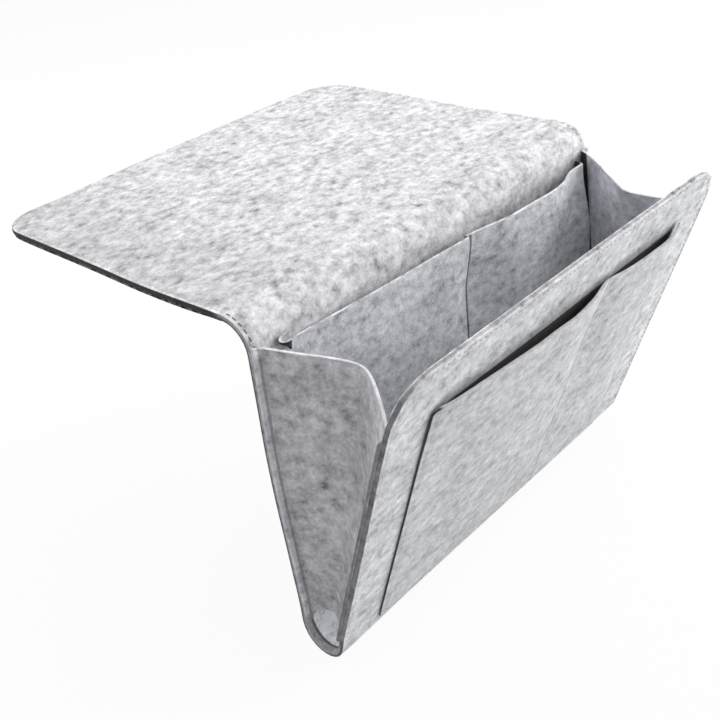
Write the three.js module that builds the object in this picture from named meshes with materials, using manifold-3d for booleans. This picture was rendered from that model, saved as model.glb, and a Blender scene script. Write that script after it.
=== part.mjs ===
// Felt bedside caddy, in millimetres. +Z is up, +Y points over the bed and -Y into the room.
// The origin is the middle of the flap's underside. From there the felt strip runs flat to the
// bed's edge, bends down, is the bag's back, turns round the bottom fold and is the bag's front.
import * as THREE from 'three';
import { mergeVertices } from 'three/addons/utils/BufferGeometryUtils.js';
import Module from 'manifold-3d';

// Main felt strip
const caddyWidth = 320;
const feltThickness = 3.5;
const flapLength = 231;
const flapCornerRadius = 28;
const bendInnerRadius = 16.5;
const backHeight = 198;
const foldInnerRadius = 14;
const frontLeanDegrees = 18.1;
const frontHeight = 226;
const frontCornerRadius = 30;

// Grip liner under the flap
const gripThickness = 2;

// Gussets: thin felt folded inwards along a crease at mid depth, with a cable hole at the foot
const gussetThickness = 2;
const flangeWidth = 5;
const creaseInwardTop = 24;
const creaseInwardFoot = 4;
const gussetRise = 6.5;
const gussetTopFall = 19;
const cableHoleRadius = 11.5;
const cableHoleDrop = 2;

// Inner pocket panel, sewn on the back's face
const pocketThickness = 2;
const innerPocketSideGap = 12;
const innerPocketTopDrop = 1;
const innerPocketFootRise = 6;
const innerDividerX = 12.5;
const innerLeftBulge = 7.5;
const innerRightBulge = 15.5;

// Outer pocket panel, sewn on the front's outer face
const outerPocketSideGap = 32;
const outerPocketTopDrop = 31;
const outerPocketFootRise = 3;
const outerDividerX = 36;
const outerLeftBulge = 7;
const outerRightBulge = 6.2;

// Seams, threads and clearances
const pocketSeamLand = 6;
const seamInset = 3;
const threadWidth = 0.8;
const threadHeight = 0.4;
const seamGap = 0.3;
const cutOverrun = 4;

// Shares that shape the curves. A peak share is where across a pocket its mouth stands out most.
const innerLeftPeakShare = 0.7;
const innerRightPeakShare = 0.6;
const outerLeftPeakShare = 0.68;
const outerRightPeakShare = 0.62;
const pocketSwellShare = 3;
const pocketDepthShare = 0.8;
const creaseRoundShare = 0.16;

// Numbers of steps in the curves
const arcSteps = 14;
const cornerSteps = 8;
const pocketColumns = 14;
const pocketRows = 7;
const gussetColumns = 10;
const gussetRows = 6;
const holeSides = 40;

// Places that follow from the sizes
const halfWidth = caddyWidth / 2;
const halfFlap = flapLength / 2;
const bendOuterRadius = bendInnerRadius + feltThickness;
const foldOuterRadius = foldInnerRadius + feltThickness;
const flapTopZ = gripThickness + feltThickness;
const bendCentreZ = flapTopZ - bendOuterRadius;
const backFaceY = -halfFlap - bendOuterRadius;
const foldCentreY = backFaceY - foldInnerRadius;
const foldCentreZ = bendCentreZ - backHeight;
const frontLean = THREE.MathUtils.degToRad(frontLeanDegrees);
const seamX = halfWidth - seamInset;
const innerPocketWidth = caddyWidth - 2 * innerPocketSideGap;
const outerPocketWidth = caddyWidth - 2 * outerPocketSideGap;
const innerPockets = [[innerLeftBulge, innerLeftPeakShare], [innerRightBulge, innerRightPeakShare]];
const outerPockets = [[outerLeftBulge, outerLeftPeakShare], [outerRightBulge, outerRightPeakShare]];

const feltLook = { color: 0xc6c7c8, roughness: 0.95, metalness: 0 };
const pocketLook = { color: 0xb9babb, roughness: 0.95, metalness: 0 };
const gussetLook = { color: 0xadaeb0, roughness: 0.95, metalness: 0 };
const gripLook = { color: 0x2a2b2e, roughness: 0.85, metalness: 0 };
const threadLook = { color: 0x77797b, roughness: 0.8, metalness: 0 };

const wasm = await Module();
wasm.setup();

function named(name, geometry, look) {
  const mesh = new THREE.Mesh(geometry, new THREE.MeshStandardMaterial(look));
  mesh.name = name;
  return mesh;
}

// Closed geometry as a solid that can be joined or cut
function toSolid(geometry) {
  const bare = geometry.clone();
  bare.deleteAttribute('normal');
  bare.deleteAttribute('uv');
  const merged = mergeVertices(bare);
  return new wasm.Manifold(new wasm.Mesh({
    numProp: 3,
    vertProperties: new Float32Array(merged.attributes.position.array),
    triVerts: new Uint32Array(merged.index.array),
  }));
}

function fromSolid(solid) {
  const mesh = solid.getMesh();
  const geometry = new THREE.BufferGeometry();
  geometry.setAttribute('position', new THREE.BufferAttribute(mesh.vertProperties, 3));
  geometry.setIndex(new THREE.BufferAttribute(mesh.triVerts, 1));
  geometry.computeVertexNormals();
  return geometry;
}

function join(geometries) {
  return fromSolid(geometries.map(toSolid).reduce((whole, piece) => whole.add(piece)));
}

// Unit box cut into columns and rows, with each corner moved to where place puts it. place gets
// the column, the side through the thickness (0 or 1) and the row.
function mappedBox(columns, rows, place) {
  const geometry = new THREE.BoxGeometry(1, 1, 1, columns, 1, rows);
  const corners = geometry.attributes.position;
  for (let index = 0; index < corners.count; index += 1) {
    const column = Math.round((corners.getX(index) + 0.5) * columns);
    const side = Math.round(corners.getY(index) + 0.5);
    const row = Math.round((corners.getZ(index) + 0.5) * rows);
    corners.setXYZ(index, ...place(column, side, row));
  }
  return geometry;
}

// Outline of a panel that is square where it starts and has two round corners at its free end.
// The inset line runs that far inside the three free edges.
function panelOutline(length, radius, inset) {
  const half = halfWidth - inset;
  const corner = radius - inset;
  const centreV = length - radius;
  const arc = (centreU, startAngle) => Array.from({ length: cornerSteps + 1 }, (_, step) => {
    const angle = startAngle - (Math.PI / 2) * (step / cornerSteps);
    return new THREE.Vector2(centreU + corner * Math.cos(angle), centreV + corner * Math.sin(angle));
  });
  return [
    new THREE.Vector2(-half, 0),
    ...arc(corner - half, Math.PI),
    ...arc(half - corner, Math.PI / 2),
    new THREE.Vector2(half, 0),
  ];
}

function plate(points, thickness) {
  return new THREE.ExtrudeGeometry(new THREE.Shape(points), { depth: thickness, bevelEnabled: false });
}

// Line of stitches along a panel's three free edges
function edgeRow(length, radius) {
  const outside = panelOutline(length, radius, seamInset - threadWidth / 2);
  const inside = panelOutline(length, radius, seamInset + threadWidth / 2);
  return plate([...outside, ...inside.reverse()], threadHeight);
}

// Length of a ring round the X axis, between two angles that are measured from +Y towards +Z
function ringLength(innerRadius, outerRadius, startAngle, endAngle, width) {
  const arc = (radius) => Array.from({ length: arcSteps + 1 }, (_, step) => {
    const angle = startAngle + (endAngle - startAngle) * (step / arcSteps);
    return new THREE.Vector2(radius * Math.cos(angle), radius * Math.sin(angle));
  });
  const ring = plate([...arc(outerRadius), ...arc(innerRadius).reverse()], width);
  ring.translate(0, 0, -width / 2);
  ring.applyMatrix4(new THREE.Matrix4().makeBasis(
    new THREE.Vector3(0, 1, 0),
    new THREE.Vector3(0, 0, 1),
    new THREE.Vector3(1, 0, 0),
  ));
  return ring;
}

function threadBar(width, height) {
  return new THREE.BoxGeometry(width, threadHeight, height);
}

function flapParts() {
  const outline = panelOutline(flapLength, flapCornerRadius, 0);
  const felt = named('flap_panel', plate(outline, feltThickness), feltLook);
  felt.position.set(0, -halfFlap, gripThickness);
  const grip = named('grip_liner', plate(outline, gripThickness), gripLook);
  grip.position.set(0, -halfFlap, 0);
  const thread = named('flap_edge_thread', edgeRow(flapLength, flapCornerRadius), threadLook);
  thread.position.set(0, -halfFlap, flapTopZ);
  return [felt, grip, thread];
}

// Stitches along the bend, which stop short of the gusset's rear corner
function bendThread(name, sign) {
  const radius = bendOuterRadius + seamGap;
  const end = Math.PI - Math.asin((gussetRise + seamGap) / bendOuterRadius);
  const row = ringLength(radius, radius + threadHeight, Math.PI / 2, end, threadWidth);
  row.translate(sign * seamX, 0, 0);
  return named(name, row, threadLook);
}

// Quarter ring of felt over the bed's edge
function bendParts() {
  const strip = ringLength(bendInnerRadius, bendOuterRadius, Math.PI / 2, Math.PI, caddyWidth);
  const meshes = [
    named('flap_bend', strip, feltLook),
    bendThread('bend_edge_thread_left', -1),
    bendThread('bend_edge_thread_right', 1),
  ];
  meshes.forEach((mesh) => mesh.position.set(0, -halfFlap, bendCentreZ));
  return meshes;
}

function backParts() {
  const panel = new THREE.BoxGeometry(caddyWidth, feltThickness, backHeight);
  const back = named('back_panel', panel, feltLook);
  back.position.set(0, backFaceY + feltThickness / 2, foldCentreZ + backHeight / 2);
  const foldEnd = frontLean - Math.PI;
  const strip = ringLength(foldInnerRadius, foldOuterRadius, foldEnd, 0, caddyWidth);
  const fold = named('bottom_fold', strip, feltLook);
  fold.position.set(0, foldCentreY, foldCentreZ);
  return [back, fold];
}

// Depth from the back's face to the front's inner face, at a height over the fold's centre
function bagDepth(height) {
  const reach = foldInnerRadius + height * Math.sin(frontLean);
  return foldInnerRadius + reach / Math.cos(frontLean);
}

// How far in the crease stands, as a share of its full depth: two straight walls with a soft fold
function creaseShare(depthShare) {
  const fromMiddle = 2 * depthShare - 1;
  const reach = Math.hypot(1, creaseRoundShare) - creaseRoundShare;
  return 1 - (Math.hypot(fromMiddle, creaseRoundShare) - creaseRoundShare) / reach;
}

// Gusset: flange on the back, wall in to the crease, wall out again, flange on the front.
// The right one has sign 1 and the left one sign -1. Its own origin is on the back's face.
function gusset(name, sign) {
  const lastColumn = gussetColumns + 2;
  const place = (column, side, row) => {
    const isOutside = side === (sign > 0 ? 1 : 0);
    const isEdge = column === 0 || column === lastColumn;
    const depthShare = THREE.MathUtils.clamp((column - 1) / gussetColumns, 0, 1);
    const rowShare = row / gussetRows;
    const height = rowShare * (backHeight + gussetRise - gussetTopFall * depthShare);
    const crease = THREE.MathUtils.lerp(creaseInwardFoot, creaseInwardTop, rowShare);
    const wallInward = flangeWidth + crease * creaseShare(depthShare);
    const inward = isEdge ? 0 : wallInward + (isOutside ? 0 : gussetThickness);
    const margin = isOutside ? gussetThickness : 0;
    const span = bagDepth(height) - seamGap - 2 * margin;
    return [sign * (halfWidth - inward), -margin - span * depthShare, height];
  };
  const wall = mappedBox(lastColumn, gussetRows, place);
  const holeLength = caddyWidth + cutOverrun;
  const hole = new THREE.CylinderGeometry(cableHoleRadius, cableHoleRadius, holeLength, holeSides);
  hole.rotateZ(Math.PI / 2);
  hole.translate(0, -foldInnerRadius, -cableHoleDrop);
  const mesh = named(name, fromSolid(toSolid(wall).subtract(toSolid(hole))), gussetLook);
  mesh.position.set(0, backFaceY, foldCentreZ);
  return mesh;
}

// Straight seam of a gusset's flange, on the face that is seen from outside the bag
function gussetBackThread(name, sign) {
  const mesh = named(name, threadBar(threadWidth, backHeight - pocketSeamLand), threadLook);
  const threadY = backFaceY - gussetThickness - threadHeight / 2;
  mesh.position.set(sign * seamX, threadY, foldCentreZ + backHeight / 2);
  return mesh;
}

// Pocket panel with two pockets, flat where it is sewn and bulged between the seams. Its own
// origin is at its foot, on the face that carries it, and it bulges towards -Y.
function pocketPanel(width, height, dividerX, pockets) {
  const half = width / 2;
  const halfLand = pocketSeamLand / 2;
  const spans = [
    [pocketSeamLand - half, dividerX - halfLand],
    [dividerX + halfLand, half - pocketSeamLand],
  ];
  const swollen = spans.flatMap(([startX, endX], index) => {
    const [bulge, peakShare] = pockets[index];
    const skew = Math.log(0.5) / Math.log(peakShare);
    return Array.from({ length: pocketColumns + 1 }, (_, step) => {
      const share = step / pocketColumns;
      const swell = 1 - Math.abs(2 * share ** skew - 1) ** pocketSwellShare;
      return [THREE.MathUtils.lerp(startX, endX, share), bulge * swell];
    });
  });
  const stations = [[-half, 0], ...swollen, [half, 0]];
  const place = (column, side, row) => {
    const [x, bulge] = stations[column];
    const riseShare = Math.max(row - 1, 0) / pocketRows;
    const z = row === 0 ? 0 : THREE.MathUtils.lerp(pocketSeamLand, height, riseShare);
    const outward = bulge * riseShare ** pocketDepthShare;
    return [x, -outward - (1 - side) * pocketThickness, z];
  };
  return mappedBox(stations.length - 1, pocketRows + 1, place);
}

// Seams of a pocket panel: both ends, the divider and the foot
function pocketThread(width, height, dividerX) {
  const endX = width / 2 - seamInset;
  const uprights = [-endX, dividerX, endX].map((x) => {
    const bar = threadBar(threadWidth, height - seamInset);
    return bar.translate(x, 0, (height + seamInset) / 2);
  });
  const foot = threadBar(width - 2 * seamInset + threadWidth, threadWidth);
  foot.translate(0, 0, seamInset);
  return join([...uprights, foot]);
}

function innerPocketParts() {
  const height = backHeight - innerPocketTopDrop - innerPocketFootRise;
  const panel = named(
    'inner_pocket_panel',
    pocketPanel(innerPocketWidth, height, innerDividerX, innerPockets),
    pocketLook,
  );
  panel.position.set(0, backFaceY, foldCentreZ + innerPocketFootRise);
  const thread = named(
    'inner_pocket_thread',
    pocketThread(innerPocketWidth, height, innerDividerX),
    threadLook,
  );
  thread.position.set(0, backFaceY - pocketThickness - threadHeight / 2, panel.position.z);
  return [panel, thread];
}

// The front's own frame turns with it: z runs up the panel and the outer face looks to -Y
function frontParts() {
  const outline = panelOutline(frontHeight, frontCornerRadius, 0);
  const panel = named('front_panel', plate(outline, feltThickness), feltLook);
  panel.geometry.rotateX(Math.PI / 2);
  panel.position.set(0, -foldInnerRadius, seamGap);
  const thread = named('front_edge_thread', edgeRow(frontHeight, frontCornerRadius), threadLook);
  thread.geometry.rotateX(Math.PI / 2);
  thread.position.set(0, -foldOuterRadius - seamGap, seamGap);
  return [panel, thread];
}

function outerPocketParts() {
  const height = frontHeight - outerPocketTopDrop - outerPocketFootRise;
  const faceY = -foldOuterRadius - seamGap;
  const panel = named(
    'outer_pocket_panel',
    pocketPanel(outerPocketWidth, height, outerDividerX, outerPockets),
    pocketLook,
  );
  panel.position.set(0, faceY, outerPocketFootRise);
  const thread = named(
    'outer_pocket_thread',
    pocketThread(outerPocketWidth, height, outerDividerX),
    threadLook,
  );
  const threadY = faceY - pocketThickness - seamGap - threadHeight / 2;
  thread.position.set(0, threadY, outerPocketFootRise);
  return [panel, thread];
}

// Seam of a gusset's front flange, which lies just inside the leaning front
function gussetFrontThread(name, sign) {
  const seamTop = backHeight + gussetRise - gussetTopFall;
  const seamFoot = cableHoleRadius;
  const mesh = named(name, threadBar(threadWidth, seamTop - seamFoot), threadLook);
  const flangeY = (seamGap + gussetThickness) * Math.cos(frontLean) - foldInnerRadius;
  mesh.position.set(sign * seamX, flangeY + seamGap + threadHeight / 2, (seamTop + seamFoot) / 2);
  return mesh;
}

const caddy = new THREE.Group();
caddy.add(
  ...flapParts(),
  ...bendParts(),
  ...backParts(),
  gusset('gusset_left', -1),
  gusset('gusset_right', 1),
  gussetBackThread('gusset_thread_back_left', -1),
  gussetBackThread('gusset_thread_back_right', 1),
  ...innerPocketParts(),
);

const front = new THREE.Group();
front.position.set(0, foldCentreY, foldCentreZ);
front.rotation.x = frontLean;
front.add(
  ...frontParts(),
  ...outerPocketParts(),
  gussetFrontThread('gusset_thread_front_left', -1),
  gussetFrontThread('gusset_thread_front_right', 1),
);
caddy.add(front);

export default caddy;
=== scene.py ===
"""Looks of a grey felt bedside caddy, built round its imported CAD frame.

Metres throughout, in the frame of the CAD part: +Z is up, +Y points over the bed and -Y into the
room. Every felt piece is a surface over two parameters, closed round its cut edge.
"""

import logging
import math
from dataclasses import dataclass, field
from enum import Enum
from typing import Callable, Sequence

import bmesh
import bpy
import numpy as np
from mathutils import Matrix, Vector


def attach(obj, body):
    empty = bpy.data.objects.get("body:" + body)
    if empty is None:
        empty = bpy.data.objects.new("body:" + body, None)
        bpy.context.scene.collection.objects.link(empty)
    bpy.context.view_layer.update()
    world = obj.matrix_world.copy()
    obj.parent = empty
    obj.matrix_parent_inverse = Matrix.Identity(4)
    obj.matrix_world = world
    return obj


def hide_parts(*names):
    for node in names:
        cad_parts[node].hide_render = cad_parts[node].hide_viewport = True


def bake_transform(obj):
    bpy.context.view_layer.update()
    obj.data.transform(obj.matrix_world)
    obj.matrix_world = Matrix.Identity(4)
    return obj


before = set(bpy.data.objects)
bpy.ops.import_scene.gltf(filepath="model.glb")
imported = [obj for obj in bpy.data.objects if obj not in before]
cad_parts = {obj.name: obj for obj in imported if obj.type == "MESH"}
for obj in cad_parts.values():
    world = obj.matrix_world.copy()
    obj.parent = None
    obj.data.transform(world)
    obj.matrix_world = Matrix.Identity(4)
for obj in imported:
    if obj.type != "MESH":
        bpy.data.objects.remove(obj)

Array = np.ndarray
Floats = tuple[float, ...]
Point = tuple[float, float, float]
Place = Callable[[Array, Array, Array], Array]

Material = bpy.types.Material
Object = bpy.types.Object
Socket = bpy.types.NodeSocket
Value = Socket | float

LOG = logging.getLogger("caddy")

# UV maps in metres: place across and along a cut, and height over its middle and place along.
UV_NAME = "felt_metres"
EDGE_UV = "felt_edge"

# Steps of a traced curve, and half the width of the window that softens it.
CURVE_STEPS = 240
CURVE_SOFTNESS = 13

# Angle between faces past which their edge is shaded sharp.
SHARP_ANGLE = math.radians(70.0)

# A gusset wall's places across and along run over a sheet of this size.
WALL_DEPTH = 0.09
WALL_HEIGHT = 0.2

# Height over the middle of a felt by which it counts as the upper face, and the grey of the
# painted shade in a pocket's hollow and in the gap at the right gusset's rear.
FACE_RISE = 0.0004
PAINTED_SHADE_GREY = 0.02

# Grid places about a place where the grid is finer.
FINE_SHIFTS = (-0.0018, -0.0010, -0.0005, 0.0, 0.0005, 0.0010, 0.0018)


class Body(str, Enum):
    """Bodies of the CAD frame."""

    FLAP = "flap"
    BACK = "back"
    FRONT = "front"


class Side(Enum):
    """Ends of the bag, with the sign of X on that side."""

    LEFT = -1
    RIGHT = 1

    @property
    def word(self) -> str:
        """Name of the side as it is used in node names."""
        return self.name.lower()


def smoothstep(value: Array, start: float, end: float) -> Array:
    """Smooth rise from 0 at start to 1 at end."""
    share = np.clip((value - start) / (end - start), 0.0, 1.0)
    return share * share * (3.0 - 2.0 * share)


def dip(distance: Array, depth: float, reach: float) -> Array:
    """Depth of a pressed groove, by the distance from its middle."""
    return depth * np.exp(-((distance / reach) ** 2))


def run_length(first: Sequence[float], second: Sequence[float]) -> Array:
    """Length of a line up to each of its points."""
    return np.concatenate([[0.0], np.cumsum(np.hypot(np.diff(first), np.diff(second)))])


@dataclass(frozen=True)
class Traced:
    """Soft curve through a few traced points: straight between them, averaged under a window.

    Attributes:
        places: Where the points are, rising.
        heights: The curve's height at each point.
    """

    places: Sequence[float]
    heights: Sequence[float]

    def at(self, where: Array | float) -> Array:
        """Heights at those places, level beyond the first and last point."""
        fine = np.linspace(self.places[0], self.places[-1], CURVE_STEPS + 1)
        raw = np.interp(fine, self.places, self.heights)
        window = np.hanning(2 * CURVE_SOFTNESS + 1)
        window /= window.sum()
        padded = np.pad(raw, CURVE_SOFTNESS, mode="edge")
        return np.interp(where, fine, np.convolve(padded, window, mode="valid"))


@dataclass(frozen=True)
class StripPath:
    """Middle line of the main felt strip: flap, bend, back, bottom fold and front.

    Attributes:
        half_width: Half the strip's width.
        thickness: Thickness of the felt.
        flap_end: Y of the flap's free end.
        flap_level: Z of the middle of the flap's felt.
        flap_length: Length of the flap.
        bend_radius: Radius of the bend's middle line.
        back_length: Length of the back.
        fold_radius: Radius of the bottom fold's middle line.
        lean: How far the front leans out, in radians.
        front_length: Length of the front.
        wave_height: Height of its unevenness.
    """

    half_width: float = 0.160
    thickness: float = 0.0035
    flap_end: float = 0.1155
    flap_level: float = 0.00375
    flap_length: float = 0.231
    bend_radius: float = 0.01825
    back_length: float = 0.198
    fold_radius: float = 0.01575
    lean: float = math.radians(18.1)
    front_length: float = 0.2263
    wave_height: float = 0.00018

    @property
    def bend_start(self) -> float:
        """Where the bend starts along the strip."""
        return self.flap_length

    @property
    def back_start(self) -> float:
        """Where the back starts along the strip."""
        return self.bend_start + self.bend_radius * math.pi / 2

    @property
    def fold_start(self) -> float:
        """Where the bottom fold starts along the strip."""
        return self.back_start + self.back_length

    @property
    def front_start(self) -> float:
        """Where the front starts along the strip."""
        return self.fold_start + self.fold_radius * (math.pi - self.lean)

    @property
    def end(self) -> float:
        """Where the strip ends."""
        return self.front_start + self.front_length

    @property
    def bend_centre(self) -> tuple[float, float]:
        """Y and Z of the bend's centre."""
        return self.flap_end - self.flap_length, self.flap_level - self.bend_radius

    @property
    def fold_centre(self) -> tuple[float, float]:
        """Y and Z of the bottom fold's centre."""
        bend_y, bend_z = self.bend_centre
        return bend_y - self.bend_radius - self.fold_radius, bend_z - self.back_length

    @property
    def back_face(self) -> float:
        """Y of the back's face inside the bag."""
        return self.bend_centre[0] - self.bend_radius - self.thickness / 2

    def wave(self, across: Array, along: Array) -> Array:
        """Slight unevenness of the felt: two crossing waves, so that no face is perfectly flat."""
        first = np.sin(31.0 * across + 17.0 * along + 0.6)
        second = np.sin(-23.0 * across + 41.0 * along + 2.1)
        return self.wave_height * (first + 0.7 * second)

    def place(self, across: Array, along: Array, height: Array) -> Array:
        """Points of the strip.

        Args:
            across: X.
            along: Length along the strip from the flap's free end.
            height: Height over the middle line, towards the flap's top and the bag's inside.

        Returns:
            Points in space, one row each.
        """
        height = height + self.wave(across, along)
        bend_y, bend_z = self.bend_centre
        fold_y, fold_z = self.fold_centre
        over = math.pi / 2 + (along - self.bend_start) / self.bend_radius
        under = -(along - self.fold_start) / self.fold_radius
        rise = along - self.front_start
        sine, cosine = math.sin(self.lean), math.cos(self.lean)
        where = [along < self.bend_start, along < self.back_start, along < self.fold_start,
                 along < self.front_start]
        y = np.select(where, [
            self.flap_end - along,
            bend_y + (self.bend_radius + height) * np.cos(over),
            bend_y - self.bend_radius - height,
            fold_y + (self.fold_radius - height) * np.cos(under),
        ], fold_y - self.fold_radius * cosine - rise * sine + height * cosine)
        z = np.select(where, [
            self.flap_level + height,
            bend_z + (self.bend_radius + height) * np.sin(over),
            bend_z - (along - self.back_start),
            fold_z + (self.fold_radius - height) * np.sin(under),
        ], fold_z - self.fold_radius * sine + rise * cosine + height * sine)
        return np.stack([across, y, z], axis=1)

    def front_place(self, across: Array, rise: Array, out: Array) -> Array:
        """Points by their rise along the front and their distance out from its outer face."""
        fold_y, fold_z = self.fold_centre
        sine, cosine = math.sin(self.lean), math.cos(self.lean)
        reach = self.fold_radius + self.thickness / 2 + out
        y = fold_y - reach * cosine - rise * sine
        z = fold_z - reach * sine + rise * cosine
        return np.stack([across, y, z], axis=1)


STRIP = StripPath()


@dataclass(frozen=True)
class Settling:
    """Small shifts by which the sewn felt has settled, as the photograph shows them.

    Attributes:
        path: The strip's path.
        left: How far out the left edge of the flap and back lies, by its place along the strip.
        right: The same for the right edge.
        rear: The same for the flap's rear edge, by X.
        front: The same for the front's right edge, by its rise.
        sag: How far the bottom fold sags at its middle.
        corner_sag: How much further it sags at its left corner.
    """

    path: StripPath = STRIP
    left: Traced = Traced(
        (0.0, 0.0355, 0.0955, 0.1255, 0.1555, 0.1855, 0.2155, 0.2457, 0.2702, 0.2952, 0.3202,
         0.3452, 0.3702, 0.3952, 0.4202, 0.4452, 0.4577, 0.4900),
        (0.0025, 0.0028, 0.0028, 0.0032, 0.0042, 0.0038, 0.0024, 0.0022, 0.0025, 0.0028, 0.0036,
         0.0034, 0.0027, 0.0014, 0.0005, -0.0008, -0.0005, 0.0))
    right: Traced = Traced(
        (0.0, 0.0555, 0.0955, 0.1355, 0.1755, 0.2155, 0.2450, 0.2700, 0.3000),
        (0.0008, 0.0024, 0.0014, -0.0005, 0.0014, 0.0034, 0.0044, 0.0022, 0.0))
    rear: Traced = Traced(
        (-0.160, -0.110, -0.060, -0.020, 0.060, 0.110, 0.160),
        (-0.0005, -0.0018, 0.0016, 0.0022, 0.0028, 0.0038, 0.0020))
    front: Traced = Traced(
        (0.0, 0.040, 0.080, 0.120, 0.150, 0.180, 0.226),
        (0.0016, 0.0026, 0.0026, 0.0032, 0.0046, 0.0056, 0.0050))
    sag: float = 0.0007
    corner_sag: float = 0.0022

    def moved(self, points: Array) -> Array:
        """Points of any felt piece after it has settled.

        Args:
            points: Points at rest, one row each.

        Returns:
            The points, with the shifts of the nearest edges faded in towards those edges.
        """
        x, y, z = points.T
        path = self.path
        (bend_y, bend_z), (fold_y, fold_z) = path.bend_centre, path.fold_centre
        over = np.arctan2(z - bend_z, bend_y - y)
        on_bend = path.bend_start + path.bend_radius * (math.pi / 2 - over)
        along = np.where(y > bend_y, path.flap_end - y, on_bend)
        along = np.where(z < bend_z, path.back_start + bend_z - z, along)
        depth = np.where(z < bend_z, bend_y - path.bend_radius - y, 0.0)
        near_back = 1.0 - smoothstep(depth, 0.004, 0.060)
        to_right = smoothstep(x, 0.130, path.half_width)
        left = self.left.at(along) * smoothstep(-x, 0.125, path.half_width)
        right = self.right.at(along) * to_right
        sine, cosine = math.sin(path.lean), math.cos(path.lean)
        out = -(y - fold_y) * cosine - (z - fold_z) * sine
        rise = -(y - fold_y) * sine + (z - fold_z) * cosine
        near_front = smoothstep(out, -0.030, 0.014)
        front = self.front.at(rise) * to_right
        rear = self.rear.at(x) * smoothstep(y, 0.030, path.flap_end)
        sag = self.sag + self.corner_sag * smoothstep(-x, 0.070, 0.156)
        sag = sag * (1.0 - smoothstep(x, 0.020, 0.110)) * smoothstep(-z, 0.205, 0.228)
        moved_x = x + (right - left) * near_back + front * near_front
        return np.stack([moved_x, y + rear, z - sag], axis=1)


SETTLING = Settling()


class Graph:
    """Short way to write the nodes of a material or world."""

    def __init__(self, owner: Material | bpy.types.World) -> None:
        """Clears the owner's nodes."""
        self.owner = owner
        self.owner.use_nodes = True
        self.tree = self.owner.node_tree
        self.tree.nodes.clear()

    def node(self, kind: str, inputs: dict | None = None, **settings: object) -> bpy.types.Node:
        """Adds a node, with values or links on its inputs.

        Args:
            kind: Type name of the node.
            inputs: Input name or number to a value or an output socket.
            **settings: Properties of the node.

        Returns:
            The new node.
        """
        made = self.tree.nodes.new(kind)
        for key, value in settings.items():
            setattr(made, key, value)
        for key, value in (inputs or {}).items():
            if isinstance(value, Socket):
                self.tree.links.new(value, made.inputs[key])
            else:
                made.inputs[key].default_value = value
        return made

    def math(self, operation: str, *values: Value) -> Socket:
        """Adds a math node and returns its result."""
        inputs = dict(enumerate(values))
        return self.node("ShaderNodeMath", inputs, operation=operation).outputs[0]

    def stretch(self, vector: Socket, scale: Sequence[float], turn: float = 0.0,
                shift: float = 0.0) -> Socket:
        """Turned and stretched copy of a coordinate.

        Args:
            vector: The coordinate.
            scale: Scale along each axis, after the turn.
            turn: Turn about the third axis, in radians.
            shift: Shift along the first axis, so that two layers differ.

        Returns:
            The new coordinate.
        """
        mapping = self.node("ShaderNodeMapping", {
            "Vector": vector,
            "Rotation": (0.0, 0.0, turn),
            "Scale": tuple(scale),
            "Location": (shift, 0.37 * shift, 0.0),
        })
        return mapping.outputs[0]

    def noise(self, vector: Socket, roughness: float) -> Socket:
        """Noise of scale one at a coordinate, centred on zero."""
        made = self.node("ShaderNodeTexNoise", {
            "Vector": vector, "Scale": 1.0, "Detail": 3.0, "Roughness": roughness,
        }, noise_dimensions="3D")
        return self.math("SUBTRACT", made.outputs[0], 0.5)

    def ramp(self, value: Value, start: float, end: float) -> Socket:
        """Smooth rise from 0 at start to 1 at end."""
        return self.node("ShaderNodeMapRange", {
            "Value": value, "From Min": start, "From Max": end,
        }, interpolation_type="SMOOTHSTEP").outputs[0]

    def mix(self, share: Value, first: Value, second: Value) -> Socket:
        """First value where the share is 0, second where it is 1."""
        step = self.math("SUBTRACT", second, first)
        return self.math("MULTIPLY_ADD", step, share, first)

    def parts(self, vector: Socket) -> Sequence[Socket]:
        """Splits a vector into its three parts."""
        return self.node("ShaderNodeSeparateXYZ", {0: vector}).outputs

    def product(self, first: Value, *others: Value) -> Socket:
        """Multiplies the values."""
        for other in others:
            first = self.math("MULTIPLY", first, other)
        return first

    def map_parts(self, name: str) -> Sequence[Socket]:
        """The parts of a UV map."""
        return self.parts(self.node("ShaderNodeUVMap", uv_map=name).outputs[0])

    def line(self, value: Value, middle: float, reach: float, core: float) -> Socket:
        """1 within core of the middle, 0 beyond reach."""
        away = self.math("ABSOLUTE", self.math("SUBTRACT", value, middle))
        return self.ramp(away, reach, core)

    def facing(self) -> Sequence[Socket]:
        """The three parts of the surface's direction."""
        return self.parts(self.node("ShaderNodeNewGeometry").outputs["Normal"])

    def sideways(self, low: float = 0.20, high: float = 0.62) -> Socket:
        """How much the surface faces along X, from 0 to 1."""
        return self.ramp(self.math("ABSOLUTE", self.facing()[0]), low, high)

    def finish(self, shader: Socket) -> Material:
        """Links the shader to the output and returns the material."""
        self.node("ShaderNodeOutputMaterial", {"Surface": shader})
        return self.owner

    def surface(self, colour: Sequence[Socket], relief: Socket, strength: float, height: float,
                inputs: dict[str, float]) -> Material:
        """Finishes the material as a surface with a colour, a relief and other inputs."""
        mixed = self.node("ShaderNodeCombineColor", dict(enumerate(colour))).outputs[0]
        bump = self.node("ShaderNodeBump", {
            "Height": relief, "Strength": strength, "Distance": height}).outputs[0]
        return self.finish(self.node("ShaderNodeBsdfPrincipled", {
            "Base Color": mixed, "Normal": bump, **inputs}).outputs[0])


# Layers of the felt's grain: the size of its spots along three axes, turn, shift and weight.
GRAIN_LAYERS = (
    ((0.0088, 0.0054, 0.0054), 0.06, 0.0, 1.20),
    ((0.0068, 0.0066, 0.0066), 0.90, 7.0, 1.20),
    ((0.0021, 0.0018, 0.0018), 0.30, 13.0, 0.75),
    ((0.0320, 0.0220, 0.0220), 0.00, 3.0, 0.95),
)


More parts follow.
